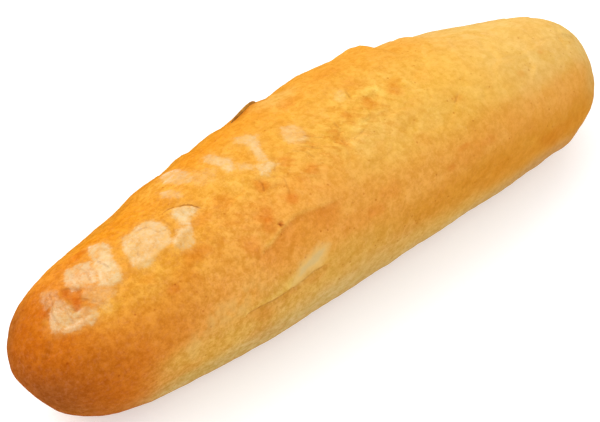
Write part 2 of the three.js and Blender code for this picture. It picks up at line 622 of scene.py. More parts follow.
@dataclass(frozen=True)
class BakeMap:
    """How far each part of the loaf has baked, with a few blooms of painted shade and highlight: tones
    blended in proportion to their blooms.
    """

    blooms: tuple[Bloom, ...] = (
        # the near tip and shoulder
        Bloom(Tone.RUSSET, -124, 80, 7, 80),
        Bloom(Tone.EMBER, -121, 200, 12, 40, 1.4),
        Bloom(Tone.RUSSET, -106, 232, 12, 26),
        Bloom(Tone.UMBER, -126, 90, 2.2, 900, 6.0),
        Bloom(Tone.EMBER, -120, 24, 9, 30, 1.8),
        Bloom(Tone.COPPER, -116, 282, 12, 40, 1.8),
        Bloom(Tone.EMBER, -114, 238, 14, 20, 1.0),
        Bloom(Tone.COPPER, -111, 90, 7, 60),
        Bloom(Tone.RUSSET, -110, 178, 9, 38),
        Bloom(Tone.COPPER, -121, 70, 5, 18, 0.5),
        # painted highlight: a paler tone under the lowest glazed island of the near tip, brightening it
        # against the shade that falls there
        Bloom(Tone.HONEY, -107, 104, 4.5, 9, 0.9),
        Bloom(Tone.TOFFEE, -99, 75, 8, 60),
        Bloom(Tone.COPPER, -99, 180, 9, 30),
        # the near third
        Bloom(Tone.AMBER, -74, 60, 24, 22),
        Bloom(Tone.APRICOT, -76, 112, 22, 26),
        Bloom(Tone.TOFFEE, -84, 150, 14, 20),
        Bloom(Tone.TAN, -62, 152, 12, 18),
        Bloom(Tone.WHEAT, -72, 184, 18, 14),
        Bloom(Tone.MUSTARD, -66, 208, 28, 13, 1.1),
        # the middle
        Bloom(Tone.HONEY, -24, 66, 26, 22),
        # painted shade, partly: this bloom and the next paint the top of the crown's back a deeper, more
        # saturated orange, the shade along its upper edge
        Bloom(Tone.AMBER, -33, 61, 20, 10, 2.2),
        Bloom(Tone.AMBER, -32, 53, 10, 8, 1.5),
        Bloom(Tone.GOLD, -55, 60, 6, 10, 1.2),
        Bloom(Tone.STRAW, 1, 57, 7, 8, 1.4),
        Bloom(Tone.HONEY, -24, 94, 26, 18),
        Bloom(Tone.GOLD, -4, 103, 20, 10, 1.1),
        Bloom(Tone.GOLD, -37, 99, 8, 8, 0.9),
        Bloom(Tone.GOLD, -83, 120, 8, 8, 0.2),
        Bloom(Tone.HONEY, -95, 117, 6, 10, 0.6),
        Bloom(Tone.STRAW, 10, 115, 12, 9, 0.4),
        Bloom(Tone.TAN, -26, 124, 26, 18),
        Bloom(Tone.TAN, -22, 148, 24, 14),
        Bloom(Tone.WHEAT, -30, 176, 26, 12),
        Bloom(Tone.OAT, -16, 202, 34, 13, 1.4),
        # the far half
        Bloom(Tone.HONEY, 34, 66, 30, 18),
        Bloom(Tone.GOLD, 32, 100, 30, 18),
        Bloom(Tone.GOLD, 34, 126, 30, 16, 0.8),
        Bloom(Tone.STRAW, 28, 118, 18, 12, 0.35),
        Bloom(Tone.AMBER, 40, 60, 14, 10, 0.15),
        Bloom(Tone.TAN, 32, 150, 32, 14),
        Bloom(Tone.BRONZE, 52, 176, 36, 13, 1.2),
        Bloom(Tone.WHEAT, 30, 197, 34, 10),
        Bloom(Tone.OAT, 30, 210, 40, 10, 1.2),
        # the far end
        Bloom(Tone.STRAW, 100, 70, 28, 30, 1.4),
        Bloom(Tone.STRAW, 100, 118, 26, 24),
        Bloom(Tone.TAN, 92, 152, 24, 14),
        Bloom(Tone.CORN, 92, 62, 18, 12, 1.2),
        Bloom(Tone.CORN, 120, 110, 8, 50, 1.6),
        Bloom(Tone.FAWN, 117, 174, 8, 28, 1.2),
        Bloom(Tone.BRONZE, 106, 192, 18, 20, 1.4),
        Bloom(Tone.BISCUIT, 86, 203, 28, 9, 1.5),
        Bloom(Tone.FAWN, 126, 90, 2.2, 900, 3.0),
        # the back and the underside
        # painted shade, partly: the two SIENNA blooms darken the back shoulder as a band of shade below
        # the crown's upper edge
        Bloom(Tone.SIENNA, -80, 34, 28, 13, 2.6),
        Bloom(Tone.SIENNA, -18, 40, 32, 11, 2.4),
        Bloom(Tone.HONEY, 38, 42, 22, 11, 3.0),
        Bloom(Tone.FAWN, 86, 30, 30, 14, 3.0),
        Bloom(Tone.COPPER, -106, 350, 18, 34, 0.8),
        Bloom(Tone.TAN, -62, 4, 22, 18, 1.0),
        Bloom(Tone.SIENNA, -30, 8, 60, 22, 0.5),
        Bloom(Tone.HONEY, -2, 5, 24, 18, 0.9),
        Bloom(Tone.TAN, 42, 2, 26, 20, 0.9),
        Bloom(Tone.WHEAT, -40, 344, 40, 14, 1.2),
        Bloom(Tone.WHEAT, 46, 342, 36, 14, 1.0),
        Bloom(Tone.OAT, -8, 325, 70, 14, 1.4),
        Bloom(Tone.FAWN, 92, 2, 34, 34, 0.8),
        Bloom(Tone.BISCUIT, 0, 270, 90, 36, 2.0),
    )
    mottles: tuple[tuple[float, float], ...] = ((10.0, 0.042), (5.0, 0.056))
    shift: float = 50.0
    seed: int = 41
    bare: float = 1e-4

    def paint(self, x: np.ndarray, angle: np.ndarray, places: np.ndarray) -> np.ndarray:
        """Base colour of each place: the weighted mean of the tones, with a gentle mottle.

        Args:
            x: places along the loaf, in millimetres.
            angle: places round it, in degrees.
            places: the same places as points, in millimetres.

        Returns:
            Linear red, green and blue in the last axis.
        """
        claims = np.stack([bloom.at(x, angle) for bloom in self.blooms], -1) + self.bare
        tones = np.array([bloom.tone.value for bloom in self.blooms])
        colour = (claims @ tones) / claims.sum(-1, keepdims=True)
        grain = Grain(self.seed)
        mottle = sum(depth * grain.at(places + self.shift * number, size)
                     for number, (size, depth) in enumerate(self.mottles))
        return deepen_for_bake_and_shade(colour, mottle)


# ---------------------------------------------------------------------------------------------------
# The crust
# ---------------------------------------------------------------------------------------------------

@dataclass(frozen=True)
class CrustRelief:
    """Everything that lifts or dents the plain skin by up to a few millimetres."""

    corners: tuple[Swell, ...] = (
        # along the back of the crown
        Swell(-72, 38, -0.9, 9, 22),
        Swell(-65, 34, -0.4, 5, 20),
        Swell(-54, 34, 0.5, 6, 20),
        Swell(-43, 42, -0.7, 5, 18),
        Swell(-36.4, 38, 0.5, 2.4, 18),
        Swell(-30, 44, -0.5, 4, 18),
        Swell(-17, 44, -0.4, 4, 18),
        Swell(7, 46, -1.0, 6, 18),
        Swell(-5, 42, 0.95, 4, 16),
        Swell(16, 46, -0.6, 18, 20),
        Swell(33, 46, -0.7, 5, 20),
        Swell(45, 50, 0.8, 3.2, 18),
        Swell(43.6, 36, 0.7, 3, 12),
        Swell(51, 50, -2.3, 5, 24),
        Swell(58, 48, -0.75, 4, 20),
        Swell(64, 62, 0.4, 8, 20),
        Swell(69, 50, -1.2, 4, 20),
        Swell(79, 36, 0.3, 5, 20),
        Swell(92, 44, -0.3, 4, 20),
        Swell(102, 52, -0.9, 9, 22),
        Swell(88, 68, -0.45, 8, 20),
        # along the foot of the front
        Swell(-107, 214, 0.6, 6, 14),
        Swell(-96, 210, -0.5, 6, 14),
        Swell(-79, 210, -0.4, 8, 14),
        Swell(-60, 206, -0.8, 18, 14),
        Swell(-51, 207, -0.4, 6, 12),
        Swell(-34, 207, 0.35, 6, 12),
        Swell(-24, 204, -0.3, 6, 12),
        Swell(-5, 206, -0.7, 8, 12),
        Swell(30, 207, 0.5, 16, 12),
        Swell(56, 206, -0.2, 6, 12),
        Swell(81, 205, 0.3, 5, 12),
        Swell(95, 205, 0.8, 6, 12),
        # round the far end
        Swell(112, 188, 1.1, 8, 18),
        Swell(114, 68, 0.3, 6, 20),
        Swell(119, 95, 0.4, 5, 24),
    )
    dents: tuple[Dent, ...] = (
        Dent((-124.0, 0.0, 20.0), -0.75, 11.0),
        Dent((-119.0, -18.0, 9.0), -0.4, 10.0),
        Dent((-118.0, 17.0, 28.0), 0.5, 8.0),
        Dent((-117.0, -12.0, 15.0), 0.5, 6.0),
    )
    leaf: Patch = Patch(((-38.4, 171), (-37.2, 168), (-35.3, 163.5), (-33.4, 160.5), (-30.5, 159),
                         (-28.3, 157.5), (-25.7, 156.3), (-22.1, 157), (-20.9, 159.5), (-22.2, 163),
                         (-24.0, 167), (-27.1, 169.8), (-30.7, 170.6), (-33.6, 171.9), (-36.5, 173.5)))
    leaf_depth: float = 0.45
    notch: Patch = Patch(((-102.2, 83), (-98.6, 94), (-103.1, 105), (-104.2, 103), (-102.9, 95),
                          (-104, 89)))
    notch_depth: float = 0.4
    notch_bake: float = 0.33
    creases: tuple[Crease, ...] = (
        # every line value below is a painted dark line of shade in the groove
        # the split low on the front
        # painted shade below the split and a painted highlight on its lip
        Crease(Trace(((-56, 173), (-51, 173.4), (-46, 174.2), (-42, 174.2), (-38.5, 173.6))),
               groove=0.6, groove_width=0.9, lip=0.3, lip_width=1.5, fade=3.5, line=0.36, pale=0.10,
               shade=0.18, shade_reach=3.0),
        Crease(Trace(((-37, 174.6), (-32.6, 172.8), (-28.8, 171.2), (-23.8, 171.4))), groove=0.5,
               groove_width=0.9, fade=2.0, line=0.30, shade=0.14, shade_reach=2.5),
        # the edge of the big plate at mid height
        # painted shade below the plate's edge and a painted highlight on its lip
        Crease(Trace(((-43, 140.8), (-40, 139.3), (-37, 137.7), (-34.5, 136), (-31.5, 134.6),
                      (-28, 133.8), (-24, 134.6), (-20, 136.4), (-15, 137.5))),
               lip=0.14, lip_width=0.8, step=0.5, step_reach=6.0, fade=5.0, pale=0.02,
               shade=0.20, shade_reach=8.0),
        Crease(Trace(((-41, 139.8), (-37, 137.7), (-34.5, 136), (-32, 134.8))), lip=0.14,
               lip_width=0.7, fade=2.0, pale=0.06),
        # the arc over a glazed patch
        Crease(Trace(((-61.5, 87.5), (-59, 88.2), (-57, 90), (-55, 91.8), (-53.3, 94.5), (-52, 99))),
               groove=0.45, groove_width=0.5, step=-0.4, step_reach=4.0, fade=1.5, line=0.7),
        # the sunk wedge and the folds round it
        Crease(Trace(((-101.9, 84), (-100.2, 89), (-98.8, 93.5))), groove=0.25, fade=0.8, line=0.28),
        Crease(Trace(((-103.9, 95), (-104.2, 102), (-103.4, 106))), groove=0.2, fade=1.0, line=0.15),
        Crease(Trace(((-100.6, 98.5), (-99, 104), (-97.6, 108))), groove=0.25, groove_width=0.9,
               fade=1.0, line=0.24),
        Crease(Trace(((-104.5, 82), (-105.3, 93), (-106.4, 100), (-106.9, 109))), groove=0.25,
               lip=0.2, lip_width=0.7, fade=1.0, line=0.16),
        Crease(Trace(((-105.9, 77), (-107.6, 87), (-109.6, 92), (-110.4, 101))), groove=0.25,
               lip=0.2, lip_width=0.7, fade=1.0, line=0.26),
        Crease(Trace(((-107.9, 76), (-109.5, 84), (-111.4, 92))), groove=0.2, fade=1.0, line=0.26),
        Crease(Trace(((-93.6, 75), (-93.4, 86), (-94.6, 95))), groove=0.2, fade=0.8, line=0.15),
        Crease(Trace(((-88.4, 87), (-87.7, 94))), groove=0.15, fade=0.8, line=0.3),
        Crease(Trace(((-72.5, 87), (-69, 90), (-68.1, 96), (-66, 98))), groove=0.15, fade=0.8,
               line=0.24),
        Crease(Trace(((-64.2, 93), (-63.6, 99), (-65, 104))), groove=0.15, fade=0.8, line=0.12),
        Crease(Trace(((-77.6, 98.6), (-78.3, 100.6))), fade=0.4, line=0.32),
        Crease(Trace(((-94.0, 90.6), (-94.6, 93))), fade=0.4, line=0.26),
        # a pit by the plate, and short wrinkles on the crown
        Crease(Trace(((-34.7, 132.4), (-33.7, 133.4))), fade=0.4, line=0.5),
        Crease(Trace(((-30.6, 103), (-30.3, 107), (-31.4, 111))), groove=0.3, fade=0.8, line=0.3),
        Crease(Trace(((-23.6, 104.6), (-21.6, 101.6))), groove=0.2, fade=0.8, line=0.35),
        Crease(Trace(((-23.2, 112), (-24.9, 120))), groove=0.2, fade=0.8, line=0.2),
        Crease(Trace(((-13.2, 101), (-10.3, 104), (-9.4, 110))), groove=0.2, fade=1.0, line=0.2),
        Crease(Trace(((-10.6, 99), (-5.6, 107))), groove=0.2, fade=1.0, line=0.2),
        Crease(Trace(((-6, 96), (-2.2, 101.5))), groove=0.2, fade=1.0, line=0.25),
        Crease(Trace(((5.4, 99), (5.6, 103), (3.4, 106), (3.2, 114))), groove=0.3, fade=1.0,
               line=0.2),
        Crease(Trace(((6.9, 112.4), (11.6, 110.8))), groove=0.3, lip=0.15, fade=1.0, line=0.25),
        Crease(Trace(((19, 84.5), (17.6, 90.5))), groove=0.3, fade=0.8, line=0.25),
        Crease(Trace(((51, 118), (48.2, 121.5))), groove=0.2, fade=0.8, line=0.25),
        # on the back
        # painted shade below these lines and painted highlights on their lips
        Crease(Trace(((38, 3), (31, 4), (23, 2.5), (14, 3.5), (6, 6))), groove=0.55, groove_width=0.9,
               lip=0.3, lip_width=1.5, fade=3.0, line=0.26, pale=0.10, shade=0.16, shade_reach=3.5),
        Crease(Trace(((-44, 0), (-50, -1), (-57, 2.5), (-64, 3), (-70, 6))), lip=0.14,
               lip_width=0.8, step=0.5, step_reach=6.0, fade=5.0, pale=0.02, shade=0.20,
               shade_reach=8.0),
        Crease(Trace(((-31, 20), (-28.5, 15), (-29.5, 11))), groove=0.25, fade=0.8, line=0.25),
        Crease(Trace(((62, 14), (65, 11.5))), groove=0.2, fade=0.8, line=0.25),
    )
    blotches: tuple[Blotch, ...] = (
        # near end
        Blotch(-110.9, 86, 1.6, 7, 0.26),
        Blotch(-112.5, 92, 1.1, 2.6, -0.28),
        Blotch(-102.6, 101, 1.5, 5.0, 0.34, -0.1),
        Blotch(-81, 117, 2.2, 4, 0.14),
        Blotch(-77, 130, 2.0, 2.5, 0.18),
        Blotch(-72, 129, 5.0, 9, 0.12),
        # painted shade: a dark spot of shadow between the glazed islands and the back of the crown
        Blotch(-89.5, 64, 3.4, 5, 0.28),
        Blotch(-96, 116, 4.0, 5, -0.17),
        Blotch(-86, 204, 6.0, 4, 0.12),
        # near flank and crown
        Blotch(-63.1, 120, 4.0, 5, 0.26),
        Blotch(-55.0, 105, 4.0, 3.4, 0.16),
        Blotch(-45.5, 104, 3.6, 5, 0.22),
        Blotch(-46.5, 134, 2.4, 6, 0.20),
        Blotch(-36.8, 123, 3.0, 4.6, 0.26, 0.1),
        Blotch(-37.6, 130, 2.4, 3.4, 0.24),
        # painted shade in the pit by the plate, with its dent
        Blotch(-34.2, 132.9, 0.75, 1.4, 0.5, -0.9),
        Blotch(-25.4, 124, 1.9, 3.0, 0.36, -0.1),
        Blotch(-31, 108, 2.2, 3.4, 0.34),
        Blotch(-18.0, 103, 2.4, 3.2, 0.26),
        Blotch(-12.8, 115, 2.4, 3.2, 0.26, 0.1),
        Blotch(-18, 145, 5.0, 7, 0.10),
        Blotch(-40.6, 138.6, 2.4, 2.4, -0.12),
        Blotch(-24.4, 108, 4.0, 3.0, -0.10),
        Blotch(-12.7, 121, 3.0, 4.0, -0.10),
        Blotch(-50, 179.5, 4.4, 4, 0.20),
        Blotch(-29, 176, 4.0, 3.0, 0.12),
        Blotch(-37.5, 169, 3.0, 4.5, -0.15),
        Blotch(-80, 191, 8.0, 6, 0.16),
        Blotch(-50, 190, 6.0, 5, 0.12),
        Blotch(-46, 200, 8.0, 5, 0.15),
        Blotch(-8, 156, 6.0, 6, 0.11),
        Blotch(44, 156, 6.0, 6, 0.11),
        # at the root of the scorched flake
        Blotch(-8.5, 49, 6.5, 4.5, 0.25, 0.2, 0.6),
        # middle and far crown
        Blotch(2.8, 108, 1.6, 8, 0.18),
        Blotch(10.8, 100, 1.5, 4, 0.22),
        Blotch(21.3, 98.6, 2.7, 4.0, 0.28, -0.2, 0.4),
        Blotch(24.6, 91.6, 4.6, 2.4, -0.20, 0.2),
        Blotch(28.2, 95, 1.6, 4, -0.16),
        Blotch(32.9, 98, 2.5, 4.6, 0.26, -0.15),
        Blotch(35.5, 93.4, 2.4, 3, 0.20),
        Blotch(23, 84, 5.0, 5, 0.14),
        Blotch(15.7, 87, 2.2, 4, -0.10),
        Blotch(11.5, 107.2, 4.0, 2.2, -0.12),
        Blotch(2, 69, 4.0, 4, 0.14),
        Blotch(22, 65, 6.0, 5, 0.12),
        Blotch(28.5, 132, 3.0, 4.5, 0.16),
        Blotch(0.5, 156, 4.0, 4, 0.18),
        Blotch(8, 150, 4.0, 5, 0.13),
        Blotch(34, 157, 1.5, 2, 0.22),
        Blotch(42, 149, 2.5, 1.6, 0.22),
        Blotch(52.5, 154, 3.0, 3, 0.14),
        Blotch(49.6, 119.6, 2.0, 2, 0.16),
        Blotch(46, 97, 4.0, 6, 0.10),
        Blotch(79, 124, 1.8, 2, 0.14),
        Blotch(93.5, 116, 1.2, 1.5, 0.18),
        Blotch(84, 182, 9.0, 6, 0.14),
        # on the back
        Blotch(-90, 10, 4.0, 6, 0.20),
        Blotch(-78, 352, 6.0, 7, 0.14),
        Blotch(-56, 2, 5.0, 7, 0.16),
        Blotch(-38, 14, 3.0, 5, 0.26, 0.1),
        Blotch(-34, 346, 6.0, 5, 0.14),
        Blotch(-20, 4, 2.4, 4, 0.24),
        Blotch(-6, 12, 3.5, 5, 0.18),
        Blotch(20, 352, 6.0, 5, 0.16),
        Blotch(44, 12, 2.6, 4, 0.28, -0.2, 0.4),
        Blotch(52, 356, 5.0, 6, 0.14),
        Blotch(76, 8, 3.0, 4, 0.18),
        Blotch(98, 354, 6.0, 8, 0.12),
        # on the underside
        Blotch(-92, 258, 9.0, 16, 0.20),
        Blotch(-62, 280, 8.0, 14, 0.18),
        Blotch(-24, 250, 10.0, 12, 0.16),
        Blotch(-2, 284, 7.0, 14, 0.20),
        Blotch(36, 262, 11.0, 14, 0.16),
        Blotch(72, 286, 8.0, 12, 0.18),
        Blotch(96, 262, 7.0, 14, 0.14),
    )
    plates: Plates = Plates()
    tip_reach: float = 2.5
    grains: tuple[tuple[float, float], ...] = ((30.0, 0.40), (13.0, 0.25), (5.5, 0.15), (2.4, 0.07))
    grain_shift: float = 10.0
    leaf_edge: tuple[float, float] = (-0.6, 1.0)
    notch_edge: tuple[float, float] = (-0.5, 0.6)
    notch_bake_edge: tuple[float, float] = (-0.5, 0.5)
    raggedness: float = 0.35
    ragged_size: float = 3.0
    line_reach: float = 2.0
    seed: int = 7

    def ragged(self, places: np.ndarray) -> np.ndarray:
        """Unevenness of the edges of blotches, as a share of their size."""
        return self.raggedness * Grain(self.seed + 1).at(places, self.ragged_size)

    def lift(self, form: LoafForm, x: np.ndarray, angle: np.ndarray, places: np.ndarray,
             ) -> np.ndarray:
        """The sum of every mark's lift, faded out at the two tips, and then dents and grain.

        Args:
            form: the plain loaf.
            x: places along the loaf, in millimetres.
            angle: places round it, in degrees.
            places: the same places as points of the plain skin, in millimetres.

        Returns:
            How far the skin is lifted along its own normal, in millimetres.
        """
        rise = sum(swell.at(x, angle) for swell in self.corners)
        rise += sum(crease.lift(x, angle) for crease in self.creases)
        rise -= self.leaf_depth * smooth_step(self.leaf.inside(x, angle), *self.leaf_edge)
        rise -= self.notch_depth * smooth_step(self.notch.inside(x, angle), *self.notch_edge)
        ragged = self.ragged(places)
        rise += sum(blotch.lift * blotch.spread(x, angle, ragged)
                    for blotch in self.blotches if blotch.lift)
        rise += self.plates.at(form, angle, places)
        rise *= smooth_step(form.length / 2.0 - np.abs(x), 0.0, self.tip_reach)
        rise += sum(dent.at(places) for dent in self.dents)
        grain = Grain(self.seed)
        return rise + sum(height * grain.at(places + self.grain_shift * size, size)
                          for size, height in self.grains)

    def depth(self, x: np.ndarray, angle: np.ndarray, places: np.ndarray) -> np.ndarray:
        """The sum of what creases, the notch and blotches add, painted shade and highlight among it.

        Args:
            x: places along the loaf, in millimetres.
            angle: places round it, in degrees.
            places: the same places as points, in millimetres.

        Returns:
            How much darker than its surroundings each place is coloured, by deeper baking and by painted
            shade and highlight.
        """
        ragged = self.ragged(places)
        deeper = sum(crease.depth(x, angle) for crease in self.creases if crease.shade or crease.pale)
        deeper += self.notch_bake * smooth_step(self.notch.inside(x, angle), *self.notch_bake_edge)
        return deeper + sum(blotch.depth * blotch.spread(x, angle, ragged)
                            for blotch in self.blotches)

    def lines(self, x: np.ndarray, angle: np.ndarray) -> tuple[np.ndarray, np.ndarray]:
        """The line of the darkest crease near each place.

        Args:
            x: places along the loaf, in millimetres.
            angle: places round it, in degrees.

        Returns:
            The signed distance to that line, and how dark the line is.
        """
        away = np.full(x.shape, self.line_reach)
        dark = np.zeros(x.shape)
        for crease in self.creases:
            gap, ink = crease.ink(x, angle)
            darker = ink > dark
            away = np.where(darker, gap, away)
            dark = np.where(darker, ink, dark)
        return np.clip(away, -self.line_reach, self.line_reach), dark


@dataclass(frozen=True)
class Glaze:
    """Islands on the crown where the crust baked to a shine; their pale colour is partly a painted
    reflection.
    """

    patches: tuple[Patch, ...] = (
        Patch(((-106.9, 66), (-104.9, 74), (-103.8, 82), (-105.1, 89), (-108.3, 88), (-109.8, 84),
               (-109.2, 74)), 0.42),
        Patch(((-107.7, 85), (-105.1, 89), (-104.7, 97), (-104.7, 104), (-102.7, 104), (-100.7, 107),
               (-99.6, 111), (-99.4, 115), (-101.8, 119), (-103.6, 118), (-104.9, 116),
               (-107.3, 116), (-110.2, 112), (-112.8, 103), (-111.8, 95), (-109.6, 90)), 0.86),
        Patch(((-97.6, 93), (-94, 98), (-94.2, 102), (-89.8, 108), (-92.2, 112), (-94.8, 113),
               (-96.4, 119), (-98.4, 115), (-98.2, 109), (-100.2, 100)), 0.42),
        Patch(((-96.3, 68), (-94.4, 72), (-92, 75), (-90, 80), (-91.5, 88), (-91.1, 92), (-93.8, 98),
               (-95.7, 94), (-98.4, 93), (-100.5, 90), (-100.5, 84), (-99, 76)), 0.85),
        Patch(((-85.1, 64), (-83.4, 68), (-81.6, 79), (-82.6, 85), (-84.6, 90), (-85.0, 96),
               (-85.1, 100), (-86.8, 105), (-88.2, 107), (-91.2, 106.5), (-94, 101), (-93.5, 98),
               (-91.1, 92), (-91.1, 88), (-89.1, 83), (-87.9, 75))),
        Patch(((-77.4, 83), (-74, 84), (-70.8, 84), (-68.4, 85), (-66.1, 88), (-64.8, 94), (-65, 98),
               (-66.4, 103), (-67.5, 106), (-69.7, 107), (-72.1, 106), (-74.5, 107), (-76.4, 109),
               (-78.2, 110), (-80.4, 108), (-82.2, 104), (-81.7, 100), (-80.7, 94), (-79.0, 89)), 0.84),
        Patch(((-59.4, 90), (-57, 91.5), (-54.7, 94), (-52.6, 98), (-53.8, 100), (-56.2, 101),
               (-57.6, 102), (-58.6, 104), (-62, 102), (-61, 98), (-60.8, 92)), 1.0),
        Patch(((-58.6, 103), (-59.1, 106), (-60.6, 109), (-62.0, 114), (-64.2, 115.5), (-66.4, 113),
               (-68.1, 110), (-67.5, 107), (-65, 105), (-63.4, 101.5)), 0.82),
        Patch(((-46.5, 48), (-44.8, 54), (-43.9, 74), (-45.1, 79), (-47.7, 82), (-50.6, 74), (-51.2, 63),
               (-49.5, 52)), 0.62),
        Patch(((-43.4, 72), (-37.7, 84), (-41.3, 91), (-46.3, 88), (-47.7, 84), (-45.1, 79)), 0.22),
        Patch(((-55.9, 71), (-53.9, 75), (-52.3, 83), (-53.5, 87), (-56.3, 82), (-57.5, 76)), 0.6),
        Patch(((-36.1, 69), (-33.9, 70), (-33, 77), (-31.4, 82), (-31.7, 88), (-33.3, 92), (-35.5, 90),
               (-36.1, 85), (-36.8, 78), (-37.4, 73)), 0.72),
        Patch(((-31.1, 88), (-29.2, 92), (-27.3, 96), (-28.2, 99), (-30.8, 95), (-33, 92)), 0.4),
        Patch(((-27.6, 96), (-24.7, 97), (-22.1, 99), (-21.2, 102), (-24.1, 103), (-25.7, 104),
               (-26.6, 106), (-28.2, 103), (-28.2, 100))),
        Patch(((-22.8, 72), (-19.6, 75), (-17.6, 80), (-19.6, 86), (-21.5, 90), (-21.8, 94),
               (-22.8, 98), (-24.1, 96), (-24.7, 93), (-23.7, 88), (-22.8, 83), (-23.7, 80),
               (-25.3, 76)), 0.72),
        Patch(((-9.5, 84), (-6.2, 86), (-4.6, 90), (-4.9, 93), (-5.2, 98), (-7.8, 99), (-10.5, 98),
               (-12.1, 95), (-12.4, 92)), 0.45),
        Patch(((16.3, 82), (17.9, 84), (16.3, 89), (13.7, 90), (13.4, 87)), 0.3),
    )

    def measure(self, x: np.ndarray, angle: np.ndarray) -> tuple[np.ndarray, np.ndarray]:
        """The island that each place lies in or nearest to.

        Args:
            x: places along the loaf, in millimetres.
            angle: places round it, in degrees.

        Returns:
            The distance into that island, negative outside it, and the island's shine.
        """
        reach = np.stack([patch.inside(x, angle) for patch in self.patches])
        chosen = reach.argmax(0)
        return reach.max(0), np.array([patch.strength for patch in self.patches])[chosen]


@dataclass(frozen=True)
class Crust:
    """The whole loaf's skin as one closed mesh, with its colour and shine stored on its points."""

    form: LoafForm
    relief: CrustRelief = CrustRelief()
    tone_and_painted_light: BakeMap = BakeMap()
    glaze: Glaze = Glaze()
    floury: tuple[Patch, ...] = (
        Patch(((-66, 154), (-58.5, 158), (-55.5, 165), (-57, 170), (-65, 170), (-69.5, 169), (-72, 171),
               (-74, 166), (-70.5, 158)), 0.45),
        Patch(((-81, 176), (-77, 164), (-73, 172), (-77, 186)), 0.35),
        Patch(((-57.3, 153), (-52, 152), (-49, 157), (-47.8, 163), (-52, 166), (-56.5, 162)), 0.30),
        Patch(((-26, 352), (-18, 344), (-8, 342), (-2, 348), (-6, 356), (-18, 358)), 0.40),
        Patch(((-54, 262), (-40, 252), (-22, 262), (-18, 276), (-38, 290), (-56, 280)), 0.30),
        Patch(((46, 282), (56, 268), (72, 262), (86, 270), (80, 284), (60, 290)), 0.26),
        Patch(((58, 340), (68, 336), (78, 342), (72, 350), (61, 350)), 0.30),
    )
    wrinkled: tuple[Swell, ...] = (
        Swell(-10, 106, 1.0, 20, 18),
        Swell(20, 102, 0.7, 20, 20),
        Swell(-46, 118, 0.6, 14, 16),
        Swell(-104, 104, 0.8, 9, 22),
        Swell(-84, 96, 0.4, 14, 24),
    )
    least_smooth: float = 0.95
    smooth_middle: float = 0.30
    middle_starts: tuple[float, float] = (-60.0, -10.0)
    smooth_far_end: float = 0.24
    far_end_starts: tuple[float, float] = (20.0, 90.0)
    glaze_lift: float = 0.15
    glaze_edge: tuple[float, float] = (-0.4, 0.6)
    flour_edge: float = 2.5
    mask_reach: float = 5.0
    station_step: float = 1e-4
    angle_step: float = 0.15
    rings: int = 392
    columns: int = 254

    def offset(self) -> float:
        """How far the loaf moves along Y for the middle of its outline to lie over the origin."""
        rings, columns = 801, 361
        station = np.linspace(-1.0, 1.0, rings)[:, None]
        y = self.form.skin(station, np.linspace(0.0, 360.0, columns)[None])[..., 1]
        return -(y.min() + y.max()) / 2.0

    def grid(self) -> tuple[np.ndarray, np.ndarray, np.ndarray]:
        """The skin on a grid.

        The plain skin's normals come from the cross product of its two grid directions, and the
        relief moves each point along its normal.

        Returns:
            Stations and angles as two matching grids, and the points in millimetres.
        """
        station, angle = np.meshgrid(
            self.form.even_stations(self.rings), self.form.even_angles(self.columns), indexing="ij")
        plain = self.form.skin(station, angle)
        ahead, turned = self.station_step, self.angle_step
        along = self.form.skin(station + ahead, angle) - self.form.skin(station - ahead, angle)
        around = self.form.skin(station, angle + turned) - self.form.skin(station, angle - turned)
        normal = np.cross(around, along)
        normal /= np.linalg.norm(normal, axis=-1, keepdims=True) + 1e-12
        x = station * self.form.length / 2.0
        reach, shine = self.glaze.measure(x, angle)
        lift = self.relief.lift(self.form, x, angle, plain)
        lift += self.glaze_lift * shine * smooth_step(reach, *self.glaze_edge)
        points = plain + normal * lift[..., None]
        points[..., 2] = np.maximum(points[..., 2], 0.0)
        return station, angle, points

    def build(self) -> bpy.types.Object:
        """Makes the mesh and stores its attributes.

        Returns:
            The crust object, at the origin, in metres.
        """
        station, angle, points = self.grid()
        tips = points[[0, -1]].mean(1)
        points = np.concatenate([points.reshape(-1, 3), tips])
        points[:, 1] += self.offset()
        x = np.concatenate([station.ravel(), [-1.0, 1.0]]) * self.form.length / 2.0
        angle = np.concatenate([angle.ravel(), [90.0, 90.0]])
        crust = make_piece("crust", points, closed_tube(self.rings, self.columns))
        self.store(crust.data, x, angle, points)
        crust.data.validate()
        return crust

    def store(self, mesh: bpy.types.Mesh, x: np.ndarray, angle: np.ndarray, points: np.ndarray,
              ) -> None:
        """Stores the base colour and the masks that the finish uses on the mesh's points.

        Args:
            mesh: the crust's mesh.
            x: the points' places along the loaf, in millimetres.
            angle: their places round it, in degrees.
            points: the points themselves, in millimetres.
        """
        colour = np.ones((len(x), 4))
        # the colour holds baked tone together with painted shade and highlight from creases, two blotches
        # and a few blooms
        depth = self.relief.depth(x, angle, points)
        colour[:, :3] = deepen_for_bake_and_shade(self.tone_and_painted_light.paint(x, angle, points), depth)
        layer = mesh.attributes.new("tone_and_painted_light", "FLOAT_COLOR", "POINT")
        layer.data.foreach_set("color", colour.astype(np.float32).ravel())
        reach, shine = self.glaze.measure(x, angle)
        away, dark = self.relief.lines(x, angle)
        flour = sum(patch.strength * smooth_step(patch.inside(x, angle), -self.flour_edge, self.flour_edge)
                    for patch in self.floury)
        layers = {"crack": away, "crack_dark": dark, "flour": flour,
                  "leaf": np.clip(self.relief.leaf.inside(x, angle), -self.mask_reach,
                                  self.mask_reach),
                  "glaze": np.clip(reach, -self.mask_reach, self.mask_reach), "shine": shine,
                  "coarse": (self.least_smooth
                             - self.smooth_middle * smooth_step(x, *self.middle_starts)
                             - self.smooth_far_end * smooth_step(x, *self.far_end_starts)),
                  "wrinkled": sum(spot.at(x, angle) for spot in self.wrinkled)}
        for name, values in layers.items():
            layer = mesh.attributes.new(name, "FLOAT", "POINT")
            layer.data.foreach_set("value", np.asarray(values, np.float32))


